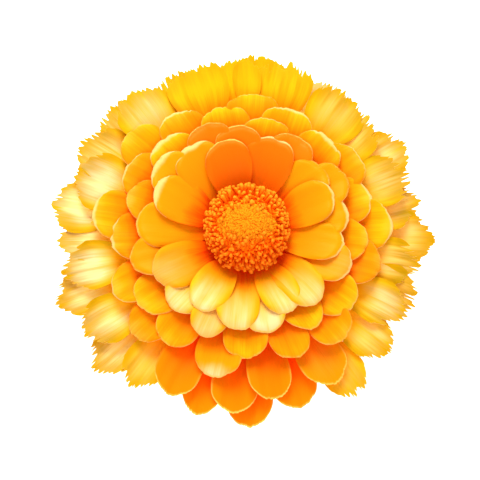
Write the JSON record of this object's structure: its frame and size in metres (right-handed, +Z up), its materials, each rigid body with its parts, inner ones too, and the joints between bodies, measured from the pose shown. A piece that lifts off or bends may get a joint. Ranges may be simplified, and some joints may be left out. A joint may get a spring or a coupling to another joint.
{
  "type": "everlasting flower head",
  "caption": "Picked head of a double everlasting flower (strawflower): layered papery golden bracts round a domed orange disc, resting face up on the cut of its stem.",
  "frame": {"origin": "centre of the stem's flat cut, on the underside, where the head rests", "axes": "+Z up the axis of the flower, from the cut stem to the disc; +Y away from the viewer who looks down on it, +X to the viewer's right"},
  "size_m": [0.0709, 0.0724, 0.0227],
  "materials": {
    "inner_bract": "satin",
    "middle_bract": "satin",
    "outer_bract": "satin",
    "open_floret": "matte",
    "closed_floret": "matte",
    "scale": "matte",
    "stem": "matte"
  },
  "bodies": {
    "root": {"stem_stub": "stem", "basal_scales": "scale", "outer_bracts": "outer_bract", "middle_bracts": "middle_bract", "inner_bracts": "inner_bract", "open_florets": "open_floret", "closed_florets": "closed_floret"}
  },
  "joints": []
}
